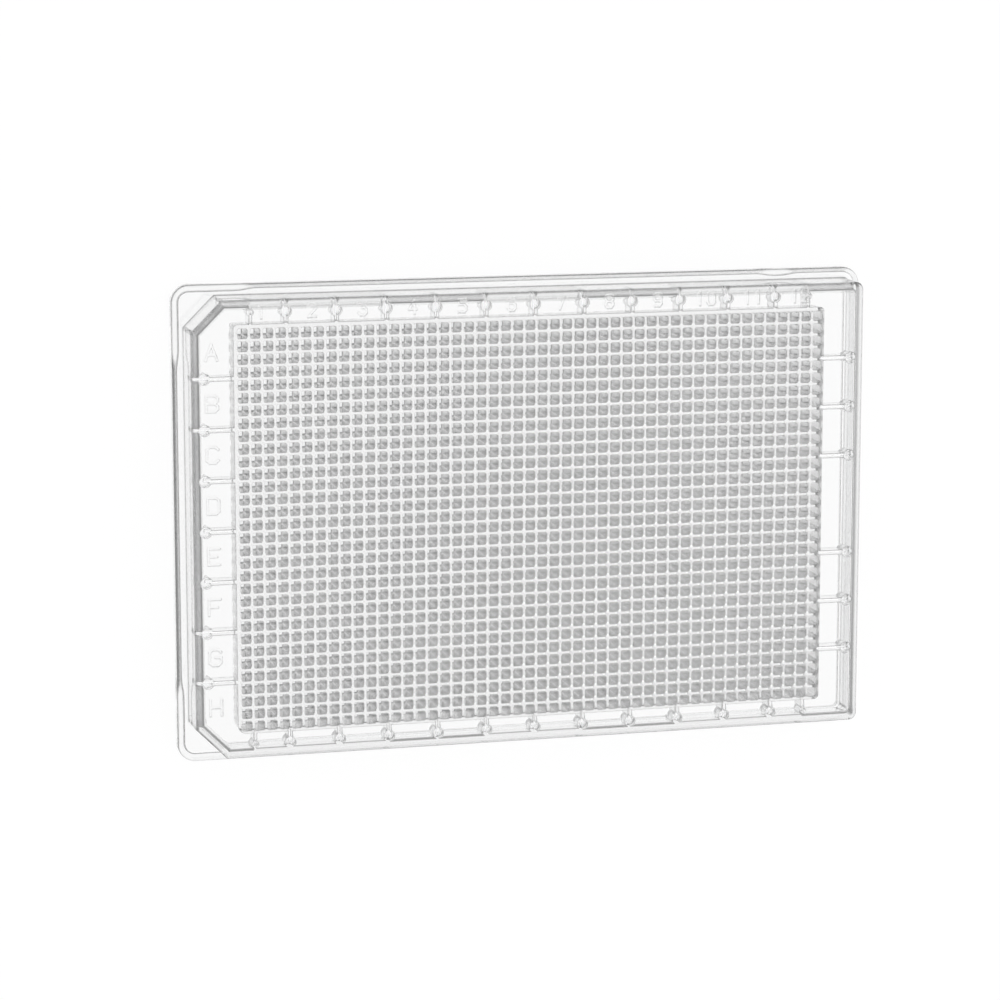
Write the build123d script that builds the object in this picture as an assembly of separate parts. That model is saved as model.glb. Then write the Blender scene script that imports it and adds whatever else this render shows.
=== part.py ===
from build123d import *
import os
from math import atan2, degrees

# A 1536-well microplate, moulded in one piece of clear polystyrene. Sizes are in millimetres.
# The plate lies flat with its wells open upwards. +X runs along the long side towards the last
# column, +Y along the short side towards row A, and the origin is the middle of the foot, z = 0.

# Outside sizes
LENGTH = 127.76
WIDTH = 85.48
HEIGHT = 10.4
FOOT_RADIUS = 3.18

# Flange round the foot: a shelf on a thin skirt
FLANGE_HEIGHT = 2.3
SHELF_THICKNESS = 1.0
SHELF_ROUND = 0.6
SKIRT = 0.8
THICK_SKIRT = 1.2
THICK_SKIRT_REACH = 13.4
PAD_LENGTH = 4.6
RAMP = 2.6
RAMP_ROUND = 12.0

# Upper wall, which leans in very slightly towards the deck, and the rounds at its head and foot
WALL = 1.1
DECK = 1.1
WALL_FOOT_INSET = 1.95
DECK_INSET = 2.0
KEY_CHAMFER = 5.5
PLAIN_CORNER_RADIUS = 1.4
LEAST_CORNER_RADIUS = 1.1
DECK_ROUND = 1.0
WALL_FOOT_ROUND = 0.4
UNDER_DECK_ROUND = 1.0
UNDER_SHELF_ROUND = 0.3
BAND = 0.35

# Wells
PITCH = 2.25
COLUMNS = 48
ROWS = 32
WELL_TOP = 1.7
WELL_FLOOR_SIDE = 1.53
WELL_DEPTH = 5.0
WELL_FLOOR = 1.0

# Block that holds the wells under the deck
BLOCK_WALL = 0.6
BLOCK_RADIUS = 0.7
BLOCK_KEY_RADIUS = 1.5
BLOCK_FOOT_ROUND = 0.3

# Ribs and ejector bosses between the block and the wall
WELLS_PER_LABEL = 4
LABEL_PITCH = WELLS_PER_LABEL * PITCH
RIB = 0.6
RIB_HEIGHT = 3.9
RIB_TIP_SHARE = 0.45
RIB_ROOT_ROUND = 0.25
END_RIB = 0.4
END_RIB_FROM_BLOCK = 3.0
BOSS_DIAMETER = 2.0
END_BOSS_DIAMETER = 1.2
BOSS_HEIGHT = 3.3
BOSS_TIP_ROUND = 0.35
BOSS_FROM_WALL = 1.2
MELD = 0.3
BAND_END = 3 * LABEL_PITCH

# Row and column marks, sunk into the deck
ROW_MARK_HEIGHT = 3.2
ROW_MARK_WIDTH = 2.4
ROW_MARK_INSET = 3.5
ROW_MARK_RISE = 0.3
COLUMN_MARK_HEIGHT = 2.6
COLUMN_MARK_WIDTH = 1.7
COLUMN_MARK_INSET = 2.1
PEN = 0.38
MARK_DEPTH = 0.15

# Worked-out places
DECK_UNDERSIDE = HEIGHT - DECK
BLOCK_LENGTH = (COLUMNS - 1) * PITCH + WELL_TOP + 2 * BLOCK_WALL
BLOCK_WIDTH = (ROWS - 1) * PITCH + WELL_TOP + 2 * BLOCK_WALL
BLOCK_HEIGHT = WELL_DEPTH + WELL_FLOOR
LEAN = (DECK_INSET - WALL_FOOT_INSET) / (HEIGHT - FLANGE_HEIGHT)
COLUMN_LABELS = COLUMNS // WELLS_PER_LABEL
ROW_LABELS = ROWS // WELLS_PER_LABEL

# How nearly an edge has to stand, and how close counts as touching, when edges are picked
UPRIGHT = 0.9
TOUCH = 0.01

# Strokes of each mark, on a grid 4 wide and 6 high
GLYPHS = {
    "A": [[(0, 0), (2, 6), (4, 0)], [(0.7, 2), (3.3, 2)]],
    "B": [[(0, 0), (0, 6), (3, 6), (4, 5), (4, 4), (3, 3), (4, 2), (4, 1), (3, 0), (0, 0)], [(0, 3), (3, 3)]],
    "C": [[(4, 5), (3, 6), (1, 6), (0, 5), (0, 1), (1, 0), (3, 0), (4, 1)]],
    "D": [[(0, 0), (0, 6), (3, 6), (4, 5), (4, 1), (3, 0), (0, 0)]],
    "E": [[(4, 6), (0, 6), (0, 0), (4, 0)], [(0, 3), (3, 3)]],
    "F": [[(4, 6), (0, 6), (0, 0)], [(0, 3), (3, 3)]],
    "G": [[(4, 5), (3, 6), (1, 6), (0, 5), (0, 1), (1, 0), (3, 0), (4, 1), (4, 3), (2, 3)]],
    "H": [[(0, 0), (0, 6)], [(4, 0), (4, 6)], [(0, 3), (4, 3)]],
    "0": [[(1, 0), (0, 1), (0, 5), (1, 6), (3, 6), (4, 5), (4, 1), (3, 0), (1, 0)]],
    "1": [[(1, 5), (2, 6), (2, 0)]],
    "2": [[(0, 5), (1, 6), (3, 6), (4, 5), (4, 4), (0, 0), (4, 0)]],
    "3": [[(0, 6), (4, 6), (2, 3.5), (3, 3.5), (4, 2.5), (4, 1), (3, 0), (1, 0), (0, 1)]],
    "4": [[(3, 0), (3, 6), (0, 2), (4, 2)]],
    "5": [[(4, 6), (0, 6), (0, 3.5), (3, 3.5), (4, 2.5), (4, 1), (3, 0), (0, 0)]],
    "6": [[(3.5, 6), (1, 6), (0, 5), (0, 1), (1, 0), (3, 0), (4, 1), (4, 2.5), (3, 3.5), (0, 3.5)]],
    "7": [[(0, 6), (4, 6), (1.5, 0)]],
    "8": [[(1, 3), (0, 4), (0, 5), (1, 6), (3, 6), (4, 5), (4, 4), (3, 3), (1, 3), (0, 2), (0, 1)],
          [(0, 1), (1, 0), (3, 0), (4, 1), (4, 2), (3, 3)]],
    "9": [[(0.5, 0), (3, 0), (4, 1), (4, 5), (3, 6), (1, 6), (0, 5), (0, 3.5), (1, 2.5), (4, 2.5)]],
}
GLYPH_COLUMNS = 4
GLYPH_ROWS = 6


def wall_inset(z):
    """How far inside the footprint the upper wall's outer face lies at a height."""
    return WALL_FOOT_INSET + (z - FLANGE_HEIGHT) * LEAN


def narrowing_up(length, width, low, high, inset):
    """A block whose four sides lean in by inset from its base to its top."""
    wedge = Wedge(length, high - low, width, inset, inset, length - inset, width - inset)
    return Pos(0, 0, (low + high) / 2) * Rot(90, 0, 0) * wedge


def narrowing_down(length, width, low, high, inset):
    """A block whose four sides lean in by inset from its top to its base."""
    wedge = Wedge(length, high - low, width, inset, inset, length - inset, width - inset)
    return Pos(0, 0, (low + high) / 2) * Rot(-90, 0, 0) * wedge


def upright_edges(solid, side):
    """The two standing corner edges at one end of a block: side is -1 for -X or 1 for +X."""
    standing = [edge for edge in solid.edges() if abs(edge.tangent_at(0.5).Z) > UPRIGHT]
    return [edge for edge in standing if edge.center().X * side > 0]


def keyed_body(low, high, inwards):
    """The body between two heights, taken in by a wall thickness, with its key corners cut off."""
    first_inset = wall_inset(low) + inwards
    body = narrowing_up(LENGTH - 2 * first_inset, WIDTH - 2 * first_inset, low, high, LEAN * (high - low))
    cut = KEY_CHAMFER - inwards * (2 - 2**0.5)
    body = chamfer(upright_edges(body, -1), cut)
    radius = max(PLAIN_CORNER_RADIUS - inwards, LEAST_CORNER_RADIUS)
    return fillet(upright_edges(body, 1), radius)


def flange():
    """The solid outer shape of the flange, with its upper rim rounded."""
    foot = extrude(RectangleRounded(LENGTH, WIDTH, FOOT_RADIUS), FLANGE_HEIGHT)
    return fillet(foot.faces().sort_by(Axis.Z)[-1].edges(), SHELF_ROUND)


def upper_body():
    """The solid outer shape of the wall and deck, with the deck's rim rounded."""
    body = keyed_body(FLANGE_HEIGHT, HEIGHT, 0)
    return fillet(body.faces().sort_by(Axis.Z)[-1].edges(), DECK_ROUND)


def outside_shape():
    """The flange and upper body as one solid, with a small round where the wall meets the shelf."""
    shape = flange() + upper_body()
    reach_x = LENGTH / 2 - WALL_FOOT_INSET
    reach_y = WIDTH / 2 - WALL_FOOT_INSET
    foot = [
        edge for edge in shape.edges()
        if abs(edge.center().Z - FLANGE_HEIGHT) < TOUCH
        and abs(edge.center().X) < reach_x + SHELF_ROUND
        and abs(edge.center().Y) < reach_y + SHELF_ROUND
    ]
    return fillet(foot, WALL_FOOT_ROUND)


def thick_stretch(start, end, edge_y):
    """A plan of one thickened stretch of a long skirt, whose ends run out over a ramp."""
    side = 1 if edge_y > 0 else -1
    thin_y = edge_y - side * SKIRT
    thick_y = edge_y - side * THICK_SKIRT
    half = RAMP / 2
    return Polygon(
        (start - half, thin_y), (end + half, thin_y), (end - half, thick_y), (start + half, thick_y),
        align=None,
    )


def skirt_thickenings():
    """Plans of what makes the skirt thicker: round both key corners, and at a pad on each long side."""
    end = -LENGTH / 2 + THICK_SKIRT_REACH
    inner_end = THICK_SKIRT_REACH - WIDTH / 2
    thin_x = -LENGTH / 2 + SKIRT
    thick_x = -LENGTH / 2 + THICK_SKIRT
    pad_end = LENGTH / 2 - THICK_SKIRT_REACH
    pad_start = pad_end - PAD_LENGTH
    half = RAMP / 2
    solid_corner = Rectangle(LENGTH, WIDTH) - RectangleRounded(
        LENGTH - 2 * THICK_SKIRT, WIDTH - 2 * THICK_SKIRT, FOOT_RADIUS - THICK_SKIRT
    )
    plans = []
    for side in (-1, 1):
        edge_y = side * WIDTH / 2
        corner = Pos(-LENGTH / 2 + THICK_SKIRT_REACH / 4, edge_y) * Rectangle(
            THICK_SKIRT_REACH / 2, THICK_SKIRT_REACH
        )
        plans.append(corner & solid_corner)
        plans.append(thick_stretch(-LENGTH / 2 + FOOT_RADIUS, end, edge_y))
        plans.append(thick_stretch(pad_start, pad_end, edge_y))
        first_y = side * (WIDTH / 2 - FOOT_RADIUS)
        last_y = side * -inner_end
        plans.append(Polygon(
            (thin_x, first_y), (thin_x, last_y - side * half), (thick_x, last_y + side * half), (thick_x, first_y),
            align=None,
        ))
    return plans


def skirt_cavity():
    """The hollow inside the flange's skirt, with flowing ends to its thick stretches."""
    plan = RectangleRounded(LENGTH - 2 * SKIRT, WIDTH - 2 * SKIRT, FOOT_RADIUS - SKIRT)
    for thickening in skirt_thickenings():
        plan -= thickening
    kinks = []
    for vertex in plan.vertices():
        meeting = [
            edge for edge in plan.edges()
            if any((end.center() - vertex.center()).length < TOUCH for end in edge.vertices())
        ]
        if meeting and all(edge.geom_type == GeomType.LINE for edge in meeting):
            kinks.append(vertex)
    plan = fillet(kinks, RAMP_ROUND)
    hollow = extrude(plan, FLANGE_HEIGHT - SHELF_THICKNESS)
    return fillet(hollow.faces().sort_by(Axis.Z)[-1].edges(), UNDER_SHELF_ROUND)


def inside_shape():
    """The hollow under the deck, with a round where the wall meets the deck."""
    hollow = keyed_body(0, DECK_UNDERSIDE, WALL)
    return fillet(hollow.faces().sort_by(Axis.Z)[-1].edges(), UNDER_DECK_ROUND)


def well_block():
    """The solid block under the deck that the wells are sunk into."""
    block = Pos(0, 0, HEIGHT - BLOCK_HEIGHT / 2) * Box(BLOCK_LENGTH, BLOCK_WIDTH, BLOCK_HEIGHT)
    key_edge = block.edges().filter_by(Axis.Z).sort_by(lambda edge: edge.center().X + edge.center().Y)[0]
    block = fillet(key_edge, BLOCK_KEY_RADIUS)
    plain_edges = [
        edge for edge in block.edges().filter_by(Axis.Z)
        if edge.center().X > 0 or edge.center().Y > 0
    ]
    block = fillet(plain_edges, BLOCK_RADIUS)
    return fillet(block.faces().sort_by(Axis.Z)[0].edges(), BLOCK_FOOT_ROUND)


def rib_section(thickness):
    """A rib's section: a straight web with a rounded tip, which flares into the deck at its root."""
    flare = thickness / 2 + RIB_ROOT_ROUND
    web = Pos(0, -RIB_HEIGHT / 2) * Rectangle(thickness, RIB_HEIGHT)
    web = fillet(web.vertices().group_by(Axis.Y)[0], RIB_TIP_SHARE * thickness)
    root = Pos(0, -RIB_ROOT_ROUND / 2) * Rectangle(2 * flare, RIB_ROOT_ROUND)
    hollows = Sketch() + [
        Pos(side * flare, -RIB_ROOT_ROUND) * Circle(RIB_ROOT_ROUND) for side in (-1, 1)
    ]
    buried = Pos(0, MELD / 2) * Rectangle(2 * flare, MELD)
    return web + (root - hollows) + buried


def rib(start, end, thickness):
    """A straight upright rib hanging from the deck between two points."""
    run = Vector(*end) - Vector(*start)
    bar = extrude(Plane.XZ * rib_section(thickness), run.length / 2, both=True)
    middle = (Vector(*start) + Vector(*end)) / 2
    turn = Rot(0, 0, degrees(atan2(run.Y, run.X)) - 90)
    return Pos(middle.X, middle.Y, DECK_UNDERSIDE) * turn * bar


def boss(x, y, diameter):
    """A round ejector boss hanging from the deck, with a rounded tip."""
    post = Cylinder(diameter / 2, BOSS_HEIGHT + MELD)
    post = fillet(post.edges().sort_by(Axis.Z)[0], BOSS_TIP_ROUND)
    return Pos(x, y, DECK_UNDERSIDE + (MELD - BOSS_HEIGHT) / 2) * post


def end_ribs():
    """Ribs and bosses at the two short ends, one between each two row marks."""
    wall_x = LENGTH / 2 - wall_inset(DECK_UNDERSIDE) - WALL
    boss_x = wall_x - BOSS_FROM_WALL
    pieces = []
    middle = ROW_LABELS // 2
    for number in range(1, ROW_LABELS):
        y = (middle - number) * LABEL_PITCH
        short = abs(number - middle) <= 1
        left_start = boss_x if short else wall_x + MELD
        pieces.append(rib((-left_start, y), (-BLOCK_LENGTH / 2 + MELD, y), RIB))
        pieces.append(boss(-boss_x, y, BOSS_DIAMETER))
        if number != middle:
            pieces.append(rib((BLOCK_LENGTH / 2 - MELD, y), (wall_x + MELD, y), RIB))
            pieces.append(boss(boss_x, y, BOSS_DIAMETER))
    return pieces


def side_ribs():
    """Ribs and bosses along the two long sides, one between each two column marks."""
    wall_y = WIDTH / 2 - wall_inset(DECK_UNDERSIDE) - WALL
    boss_y = wall_y - BOSS_FROM_WALL
    last_x = BLOCK_LENGTH / 2 - END_RIB_FROM_BLOCK
    pieces = []
    for side in (-1, 1):
        for number in range(1, COLUMN_LABELS):
            x = (number - COLUMN_LABELS / 2) * LABEL_PITCH
            pieces.append(rib((x, side * (BLOCK_WIDTH / 2 - MELD)), (x, side * (wall_y + MELD)), RIB))
            pieces.append(boss(x, side * boss_y, BOSS_DIAMETER))
        for x in (-last_x, last_x):
            pieces.append(rib((x, side * (BLOCK_WIDTH / 2 - MELD)), (x, side * (wall_y + MELD)), END_RIB))
            pieces.append(boss(x, side * boss_y, END_BOSS_DIAMETER))
    return pieces


def wall_bands():
    """Thickened bands inside the long walls: one at each end and one in the middle."""
    last_x = BLOCK_LENGTH / 2 - END_RIB_FROM_BLOCK
    low = FLANGE_HEIGHT
    stretches = [
        (-last_x, -BAND_END),
        (-LABEL_PITCH, LABEL_PITCH),
        (BAND_END, last_x),
    ]
    face_y = WIDTH / 2 - wall_inset(HEIGHT) - WALL
    deep = BAND + MELD
    pieces = []
    for side in (-1, 1):
        for start, end in stretches:
            band = Box(end - start, deep, DECK_UNDERSIDE - low + MELD)
            y = side * (face_y - BAND + deep / 2)
            pieces.append(Pos((start + end) / 2, y, (DECK_UNDERSIDE + MELD + low) / 2) * band)
    return pieces


def well_tools():
    """The square, drafted hollow of every well."""
    draft = (WELL_TOP - WELL_FLOOR_SIDE) / 2
    well = narrowing_down(WELL_TOP, WELL_TOP, HEIGHT - WELL_DEPTH, HEIGHT, draft)
    return [place * well for place in GridLocations(PITCH, PITCH, COLUMNS, ROWS)]


def stroke(start, end):
    """A bar of the pen's width from one point to another, half a pen longer at each end."""
    run = end - start
    middle = (start + end) / 2
    turn = Rot(0, 0, degrees(atan2(run.Y, run.X)))
    return Pos(middle.X, middle.Y) * turn * Rectangle(run.length + PEN, PEN)


def mark(character, x, y, width, height):
    """The sunk shape of one letter or digit, centred on a point of the deck."""
    across = (width - PEN) / GLYPH_COLUMNS
    up = (height - PEN) / GLYPH_ROWS
    bars = Sketch()
    for line in GLYPHS[character]:
        points = [
            Vector((u - GLYPH_COLUMNS / 2) * across, (v - GLYPH_ROWS / 2) * up) for u, v in line
        ]
        for start, end in zip(points, points[1:]):
            bars += stroke(start, end)
    return Pos(x, y, HEIGHT - MARK_DEPTH) * extrude(bars, 2 * MARK_DEPTH)


def mark_tools():
    """Row letters down the left of the deck and column numbers along its upper edge."""
    tools = []
    row_x = -LENGTH / 2 + DECK_INSET + ROW_MARK_INSET
    column_y = WIDTH / 2 - DECK_INSET - COLUMN_MARK_INSET
    for number in range(ROW_LABELS):
        y = ((ROW_LABELS - 1) / 2 - number) * LABEL_PITCH + ROW_MARK_RISE
        tools.append(mark("ABCDEFGH"[number], row_x, y, ROW_MARK_WIDTH, ROW_MARK_HEIGHT))
    for number in range(COLUMN_LABELS):
        digits = str(number + 1)
        x = (number - (COLUMN_LABELS - 1) / 2) * LABEL_PITCH
        for place, digit in enumerate(digits):
            shift = (place - (len(digits) - 1) / 2) * (COLUMN_MARK_WIDTH + PEN)
            tools.append(mark(digit, x + shift, column_y, COLUMN_MARK_WIDTH, COLUMN_MARK_HEIGHT))
    return tools


def well_plate():
    """The whole moulding: a hollow keyed body, its block, ribs, bosses and marks, and the wells."""
    plate = outside_shape() - (inside_shape() + skirt_cavity())
    plate = plate.fuse(well_block(), *end_ribs(), *side_ribs(), *wall_bands())
    return plate.cut(*well_tools(), *mark_tools())


os.makedirs("parts", exist_ok=True)
export_step(well_plate(), "parts/well_plate.step", write_pcurves=False)
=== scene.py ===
"""Looks of the well plate: its clear plastic, its small rounded wells, the white ground and the light."""

from math import cos, radians, sin

import bmesh
import bpy
from mathutils import Matrix, Vector


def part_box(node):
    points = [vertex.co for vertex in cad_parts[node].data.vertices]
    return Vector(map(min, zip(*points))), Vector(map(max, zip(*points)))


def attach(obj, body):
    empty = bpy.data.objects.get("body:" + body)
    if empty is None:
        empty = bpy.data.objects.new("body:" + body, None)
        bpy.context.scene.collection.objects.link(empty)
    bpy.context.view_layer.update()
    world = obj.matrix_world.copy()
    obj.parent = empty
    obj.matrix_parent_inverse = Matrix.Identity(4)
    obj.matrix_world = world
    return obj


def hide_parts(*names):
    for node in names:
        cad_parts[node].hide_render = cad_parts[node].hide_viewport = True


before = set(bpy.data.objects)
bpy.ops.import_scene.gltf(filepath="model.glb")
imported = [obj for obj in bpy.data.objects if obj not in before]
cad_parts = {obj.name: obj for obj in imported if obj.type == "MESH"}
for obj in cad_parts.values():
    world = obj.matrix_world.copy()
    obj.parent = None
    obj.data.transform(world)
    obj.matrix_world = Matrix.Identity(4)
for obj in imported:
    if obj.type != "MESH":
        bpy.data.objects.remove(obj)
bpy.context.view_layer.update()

# Wells, in metres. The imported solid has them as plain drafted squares; here they get their rounds.
PITCH = 0.00225
COLUMNS = 48
ROWS = 32
WELL_TOP = 0.0017
WELL_FLOOR_SIDE = 0.00153
WELL_DEPTH = 0.005
WELL_ROUND = 0.0003
LIP_ROUND = 0.0001
CORNER_ANGLES = (0, 45, 90)

# The strip of deck round the well field that joins it to the rest of the deck
JOIN = 0.0001
TOUCH = 1e-6

# Camera, fitted to the photo's outline
LENS = 123.0
EYE = Vector((-0.1613, 0.1058, 0.5904))
AIM = Vector((-0.00668, 0.00366, 0.0104))

# The plastic. A roughness is from 0 to 1, and the absorption is per metre of plastic
TINT = (0.985, 0.987, 0.988, 1)
POLYSTYRENE_IOR = 1.59
POLISHED = 0.04
MATT = 0.06
WELL_MATT = 0.1
EDGE_ROUND = 0.0003
EDGE_SAMPLES = 4
ABSORPTION = 12

# How far up or down a face looks where it still counts as standing, and where it counts as flat
STANDING = 0.3
LYING = 0.8

# The faint unevenness: a change in roughness, and low waves in the surface
SPECKLE_SCALE = 900
SPECKLE_SHARE = 0.15
WAVE_SCALE = 260
WAVE_STRENGTH = 0.3
WAVE_HEIGHT = 0.00002

# The ground. The camera sees this much of it as plain white, and the rest as paint with a shadow on it
GROUND_SIZE = 4
GROUND_LEVEL = -0.0002
GROUND_PAINT = (0.95, 0.95, 0.95, 1)
SEEN_WHITE = 0.95

# The light under the plate leans to +X. From its middle it is full up to the first cosine, and falls to
# the room's dim light at the second
UNDER_LIGHT_WAY = Vector((0.26, 0, -0.966))
UNDER_LIGHT_FULL = 0.85
UNDER_LIGHT_END = 0.79
UNDER_LIGHT = 0.93

# The rest of the room: its dim light all round, and the most that the light overhead and the window add
DIM = 0.22
OVERHEAD = 1.2
WINDOW = 0.65

LIGHT_BOUNCES = 24

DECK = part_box("well_plate")[1].z
UP = Vector((0, 0, 1))


# The moulding's mesh


def with_kept_normals(mesh):
    """A bmesh of a mesh, with the smooth normal of every face corner kept in a layer."""
    bm = bmesh.new()
    bm.from_mesh(mesh)
    kept = bm.loops.layers.float_vector.new("kept_normal")
    for polygon, face in zip(mesh.polygons, bm.faces):
        for index, loop in zip(polygon.loop_indices, face.loops):
            loop[kept] = mesh.corner_normals[index].vector
    bmesh.ops.remove_doubles(bm, verts=bm.verts, dist=TOUCH / 10)
    return bm, kept


def on_deck(part):
    """Whether a face or an edge is part of the deck's flat top."""
    return all(abs(vert.co.z - DECK) < TOUCH for vert in part.verts)


def within(part, reach_x, reach_y):
    """Whether a face or an edge lies wholly over a rectangle about the middle of the plate."""
    return all(abs(vert.co.x) < reach_x and abs(vert.co.y) < reach_y for vert in part.verts)


def in_wells(face):
    """Whether a face lies at the height of the wells, so that within their rectangle it is one of theirs."""
    return all(vert.co.z > DECK - WELL_DEPTH - TOUCH for vert in face.verts)


def cut_out_wells(bm, reach_x, reach_y):
    """Cuts the deck along a rectangle round the wells and takes out the plain wells in it."""
    for axis, reach in ((Vector((1, 0, 0)), reach_x), (Vector((0, 1, 0)), reach_y)):
        for side in (-1, 1):
            deck = [face for face in bm.faces if on_deck(face)]
            parts = set(deck)
            for face in deck:
                parts.update(face.edges, face.verts)
            bmesh.ops.bisect_plane(
                bm, geom=list(parts), dist=TOUCH / 10, plane_co=axis * side * reach, plane_no=axis
            )
    well_reach_x = ((COLUMNS - 1) * PITCH + WELL_TOP) / 2 + TOUCH
    well_reach_y = ((ROWS - 1) * PITCH + WELL_TOP) / 2 + TOUCH
    inside = [
        face for face in bm.faces
        if on_deck(face) and within(face, reach_x + TOUCH, reach_y + TOUCH)
        or within(face, well_reach_x, well_reach_y) and in_wells(face)
    ]
    bmesh.ops.delete(bm, geom=inside, context="FACES")


def rounded_square(side, radius, angles=CORNER_ANGLES):
    """Points round a square with rounded corners, anticlockwise, each with the way that its side faces."""
    straight = side / 2 - radius
    points = []
    for quarter in range(4):
        corner = Matrix.Rotation(radians(90 * quarter), 2) @ Vector((straight, straight))
        for angle in angles:
            turn = radians(angle + 90 * quarter)
            way = Vector((cos(turn), sin(turn)))
            points.append((corner + way * radius, way))
    return points


def well_rings():
    """The rings that shape a well, from lip to floor: points, height and how far their normals look up."""
    draft = (WELL_TOP - WELL_FLOOR_SIDE) / 2 / WELL_DEPTH
    lip_side = WELL_TOP - 2 * draft * LIP_ROUND
    foot_side = WELL_FLOOR_SIDE + 2 * draft * WELL_ROUND
    return (
        (rounded_square(WELL_TOP + 2 * LIP_ROUND, WELL_ROUND + LIP_ROUND), DECK, None),
        (rounded_square(lip_side, WELL_ROUND), DECK - LIP_ROUND, draft),
        (rounded_square(foot_side, WELL_ROUND), DECK - WELL_DEPTH + WELL_ROUND, draft),
        (rounded_square(foot_side - 2 * WELL_ROUND, 0, (45,)), DECK - WELL_DEPTH, None),
    )


def add_face(bm, kept, corners, material=0):
    """Adds one face from its corners, each a vertex and the normal that it has there."""
    face = bm.faces.new([vert for vert, normal in corners])
    face.material_index = material
    for loop, (vert, normal) in zip(face.loops, corners):
        loop[kept] = normal


def add_band(bm, kept, upper, lower):
    """Adds the band of a well's side between two rings of as many points."""
    for index, corner in enumerate(upper):
        after = (index + 1) % len(upper)
        add_face(bm, kept, (corner, upper[after], lower[after], lower[index]), material=1)


def add_frame(bm, kept, square, ring, material=0):
    """Adds the faces between a square and a ring inside it, or one round it if that comes first."""
    per_corner = len(ring) // 4
    for quarter, corner in enumerate(square):
        first = quarter * per_corner
        last = first + per_corner - 1
        for step in range(first, last):
            add_face(bm, kept, (corner, ring[step + 1], ring[step]), material)
        after = (quarter + 1) % 4
        add_face(bm, kept, (corner, square[after], ring[(last + 1) % len(ring)], ring[last]), material)


def add_well(bm, kept, rings, centre, cell):
    """Adds one well and the land round it, out to the corners of its cell."""
    loops = []
    for points, height, rise in rings:
        loop = []
        for point, way in points:
            normal = UP if rise is None else Vector((-way.x, -way.y, rise)).normalized()
            loop.append((bm.verts.new((centre.x + point.x, centre.y + point.y, height)), normal))
        loops.append(loop)
    lip, neck, foot, floor = loops
    add_frame(bm, kept, [(vert, UP) for vert in cell], lip)
    add_band(bm, kept, lip, neck)
    add_band(bm, kept, neck, foot)
    add_frame(bm, kept, floor[::-1], foot[::-1], material=1)
    add_face(bm, kept, floor)


def add_wells(bm, kept):
    """Adds the whole field of wells as one connected sheet."""
    rings = well_rings()
    cells = [
        [bm.verts.new(((u - COLUMNS / 2) * PITCH, (v - ROWS / 2) * PITCH, DECK)) for v in range(ROWS + 1)]
        for u in range(COLUMNS + 1)
    ]
    for u in range(COLUMNS):
        for v in range(ROWS):
            centre = Vector(((u + 0.5 - COLUMNS / 2) * PITCH, (v + 0.5 - ROWS / 2) * PITCH))
            cell = (cells[u + 1][v + 1], cells[u][v + 1], cells[u][v], cells[u + 1][v])
            add_well(bm, kept, rings, centre, cell)


def join_wells_to_deck(bm, kept, reach_x, reach_y):
    """Fills the narrow strip of deck between the well field and the cut round it."""
    open_edges = [
        edge for edge in bm.edges
        if edge.is_boundary and on_deck(edge) and within(edge, reach_x + TOUCH, reach_y + TOUCH)
    ]
    filled = bmesh.ops.triangle_fill(bm, edges=open_edges, use_beauty=True, normal=(0, 0, 1))
    strip = [part for part in filled["geom"] if isinstance(part, bmesh.types.BMFace)]
    for face in strip:
        face.normal_update()
        if face.normal.z < 0:
            face.normal_flip()
        for loop in face.loops:
            loop[kept] = (0, 0, 1)


def moulding():
    """The plate as one mesh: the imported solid's own faces, with rounded wells in place of its plain ones."""
    bm, kept = with_kept_normals(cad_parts["well_plate"].data)
    reach_x = COLUMNS * PITCH / 2 + JOIN
    reach_y = ROWS * PITCH / 2 + JOIN
    cut_out_wells(bm, reach_x, reach_y)
    add_wells(bm, kept)
    join_wells_to_deck(bm, kept, reach_x, reach_y)
    for face in bm.faces:
        face.smooth = True
    mesh = bpy.data.meshes.new("moulding")
    bm.to_mesh(mesh)
    bm.free()
    normals = [tuple(value.vector) for value in mesh.attributes["kept_normal"].data]
    mesh.normals_split_custom_set(normals)
    mesh.attributes.remove(mesh.attributes["kept_normal"])
    piece = bpy.data.objects.new("moulding", mesh)
    bpy.context.collection.objects.link(piece)
    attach(piece, "root")
    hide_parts("well_plate")
    return piece


# Materials


def add_node(tree, kind, **settings):
    """Adds a shader node and sets its properties."""
    node = tree.nodes.new(kind)
    for name, value in settings.items():
        setattr(node, name, value)
    return node


def mapped(tree, source, low, high, to_low, to_high):
    """Carries a value from one range to another."""
    node = add_node(tree, "ShaderNodeMapRange")
    for name, value in (("From Min", low), ("From Max", high), ("To Min", to_low), ("To Max", to_high)):
        node.inputs[name].default_value = value
    tree.links.new(source, node.inputs["Value"])
    return node.outputs["Result"]


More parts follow.
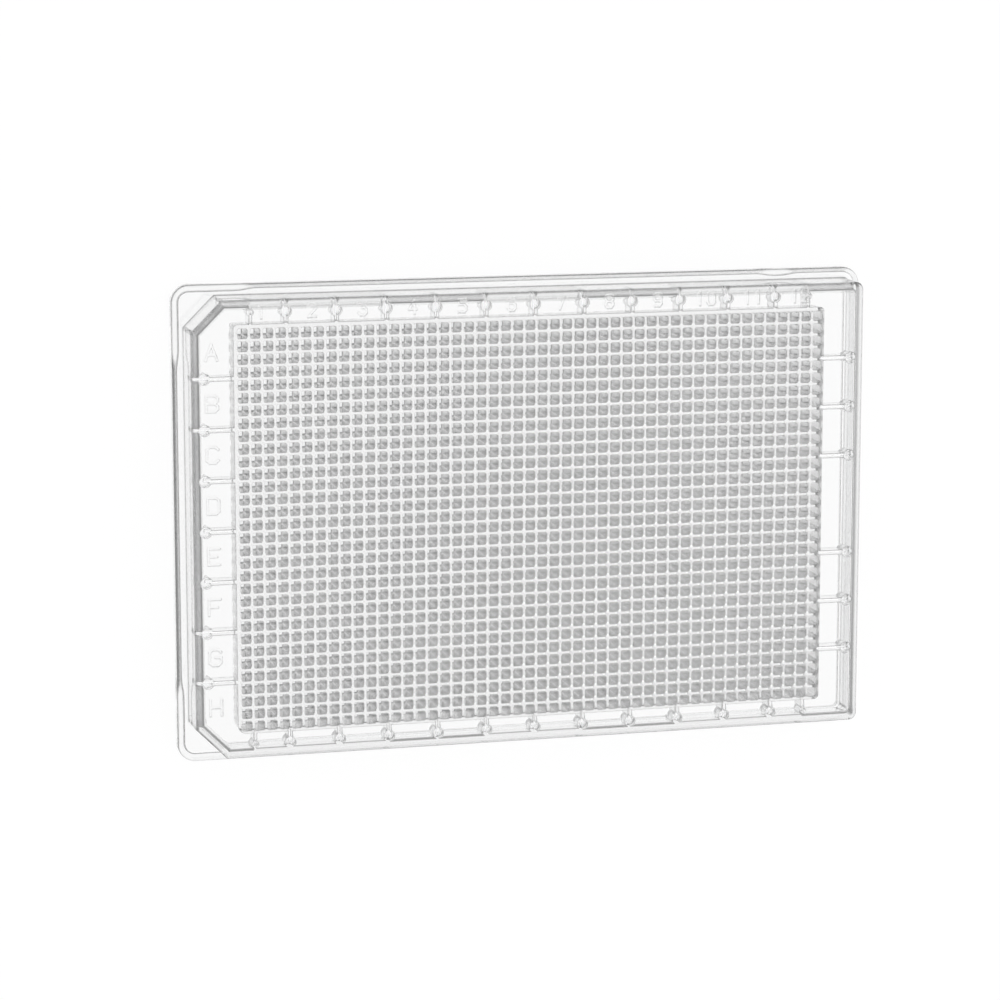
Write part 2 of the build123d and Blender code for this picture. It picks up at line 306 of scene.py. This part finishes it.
def clear_polystyrene(name, matt, edge_round):
    """Clear moulded plastic: polished flat faces, finely matt standing faces and a faint unevenness."""
    material = bpy.data.materials.new(name)
    material.use_nodes = True
    tree = material.node_tree
    shader = tree.nodes["Principled BSDF"]
    output = tree.nodes["Material Output"]
    shader.inputs["Base Color"].default_value = TINT
    shader.inputs["IOR"].default_value = POLYSTYRENE_IOR
    shader.inputs["Transmission Weight"].default_value = 1
    place = add_node(tree, "ShaderNodeTexCoord").outputs["Object"]

    geometry = add_node(tree, "ShaderNodeNewGeometry")
    facing = add_node(tree, "ShaderNodeSeparateXYZ")
    tree.links.new(geometry.outputs["True Normal"], facing.inputs[0])
    flatness = add_node(tree, "ShaderNodeMath", operation="ABSOLUTE")
    tree.links.new(facing.outputs["Z"], flatness.inputs[0])
    roughness = mapped(tree, flatness.outputs[0], STANDING, LYING, matt, POLISHED)
    speckle = add_node(tree, "ShaderNodeTexNoise")
    speckle.inputs["Scale"].default_value = SPECKLE_SCALE
    tree.links.new(place, speckle.inputs["Vector"])
    share = mapped(tree, speckle.outputs["Fac"], 0.3, 0.7, 1 - SPECKLE_SHARE, 1 + SPECKLE_SHARE)
    uneven = add_node(tree, "ShaderNodeMath", operation="MULTIPLY")
    tree.links.new(roughness, uneven.inputs[0])
    tree.links.new(share, uneven.inputs[1])
    tree.links.new(uneven.outputs[0], shader.inputs["Roughness"])

    waves = add_node(tree, "ShaderNodeTexNoise")
    waves.inputs["Scale"].default_value = WAVE_SCALE
    tree.links.new(place, waves.inputs["Vector"])
    bump = add_node(tree, "ShaderNodeBump")
    bump.inputs["Strength"].default_value = WAVE_STRENGTH
    bump.inputs["Distance"].default_value = WAVE_HEIGHT
    tree.links.new(waves.outputs["Fac"], bump.inputs["Height"])
    tree.links.new(bump.outputs["Normal"], shader.inputs["Normal"])
    if edge_round:
        softened = add_node(tree, "ShaderNodeBevel", samples=EDGE_SAMPLES)
        softened.inputs["Radius"].default_value = edge_round
        tree.links.new(softened.outputs["Normal"], bump.inputs["Normal"])

    dimming = add_node(tree, "ShaderNodeVolumeAbsorption")
    dimming.inputs["Color"].default_value = (0, 0, 0, 1)
    dimming.inputs["Density"].default_value = ABSORPTION
    tree.links.new(dimming.outputs["Volume"], output.inputs["Volume"])
    return material


def combined(tree, operation, first, second):
    """Two values put together by a sum, a product or the larger of them, as the operation says."""
    node = add_node(tree, "ShaderNodeMath", operation=operation)
    tree.links.new(first, node.inputs[0])
    tree.links.new(second, node.inputs[1])
    return node.outputs[0]


def white_ground():
    """A white floor with a faint shadow. Rays from clear plastic and gloss pass it to the light under it."""
    material = bpy.data.materials.new("white_ground")
    material.use_nodes = True
    tree = material.node_tree
    tree.nodes.clear()
    output = add_node(tree, "ShaderNodeOutputMaterial")
    paint = add_node(tree, "ShaderNodeBsdfDiffuse")
    paint.inputs["Color"].default_value = GROUND_PAINT
    glow = add_node(tree, "ShaderNodeEmission")
    glow.inputs["Strength"].default_value = 1
    passage = add_node(tree, "ShaderNodeBsdfTransparent")
    path = add_node(tree, "ShaderNodeLightPath")
    seen = mapped(tree, path.outputs["Is Camera Ray"], 0, 1, 0, SEEN_WHITE)
    shiny = combined(tree, "MAXIMUM", path.outputs["Is Glossy Ray"], path.outputs["Is Transmission Ray"])
    floor = add_node(tree, "ShaderNodeMixShader")
    tree.links.new(seen, floor.inputs[0])
    tree.links.new(paint.outputs[0], floor.inputs[1])
    tree.links.new(glow.outputs[0], floor.inputs[2])
    mix = add_node(tree, "ShaderNodeMixShader")
    tree.links.new(shiny, mix.inputs[0])
    tree.links.new(floor.outputs[0], mix.inputs[1])
    tree.links.new(passage.outputs[0], mix.inputs[2])
    tree.links.new(mix.outputs[0], output.inputs["Surface"])
    return material


piece = moulding()
piece.data.materials.append(clear_polystyrene("clear_polystyrene", MATT, EDGE_ROUND))
piece.data.materials.append(clear_polystyrene("clear_polystyrene_wells", WELL_MATT, 0))

bpy.ops.mesh.primitive_plane_add(size=GROUND_SIZE, location=(0, 0, GROUND_LEVEL))
ground = bpy.context.object
ground.name = "ground"
ground.data.materials.append(white_ground())


# Light


def studio():
    """White light under the plate, a soft light overhead and a bright window on the +X side."""
    world = bpy.data.worlds.new("studio")
    bpy.context.scene.world = world
    world.use_nodes = True
    tree = world.node_tree
    tree.nodes.clear()
    output = add_node(tree, "ShaderNodeOutputWorld")
    background = add_node(tree, "ShaderNodeBackground")
    background.inputs["Color"].default_value = (1, 1, 1, 1)
    ways = add_node(tree, "ShaderNodeTexCoord")
    facing = add_node(tree, "ShaderNodeSeparateXYZ")
    tree.links.new(ways.outputs["Generated"], facing.inputs[0])
    upward = facing.outputs["Z"]
    overhead = mapped(tree, upward, 0.2, 0.8, 0, OVERHEAD)
    window = mapped(tree, facing.outputs["X"], 0.2, 0.9, 0, WINDOW)
    above_ground = mapped(tree, upward, 0, 0.1, 0, 1)
    room = combined(tree, "MULTIPLY", combined(tree, "ADD", overhead, window), above_ground)
    nearness = add_node(tree, "ShaderNodeVectorMath", operation="DOT_PRODUCT")
    nearness.inputs[1].default_value = UNDER_LIGHT_WAY
    tree.links.new(ways.outputs["Generated"], nearness.inputs[0])
    under_light = mapped(tree, nearness.outputs["Value"], UNDER_LIGHT_END, UNDER_LIGHT_FULL, DIM, UNDER_LIGHT)
    light = combined(tree, "ADD", room, under_light)
    seen = add_node(tree, "ShaderNodeLightPath").outputs["Is Camera Ray"]
    tree.links.new(combined(tree, "MAXIMUM", light, seen), background.inputs["Strength"])
    tree.links.new(background.outputs[0], output.inputs["Surface"])


def camera():
    """The camera, above the far left corner, with +Y up in the picture."""
    data = bpy.data.cameras.new("camera")
    data.lens = LENS
    data.clip_start = 0.01
    viewer = bpy.data.objects.new("camera", data)
    bpy.context.collection.objects.link(viewer)
    back = (EYE - AIM).normalized()
    right = Vector((0, 1, 0)).cross(back).normalized()
    above = back.cross(right)
    turn = Matrix((right, above, back)).transposed().to_4x4()
    viewer.matrix_world = Matrix.Translation(EYE) @ turn
    bpy.context.scene.camera = viewer


studio()
camera()

scene = bpy.context.scene
scene.view_settings.view_transform = "Standard"
scene.cycles.max_bounces = LIGHT_BOUNCES
scene.cycles.transmission_bounces = LIGHT_BOUNCES
scene.cycles.glossy_bounces = LIGHT_BOUNCES
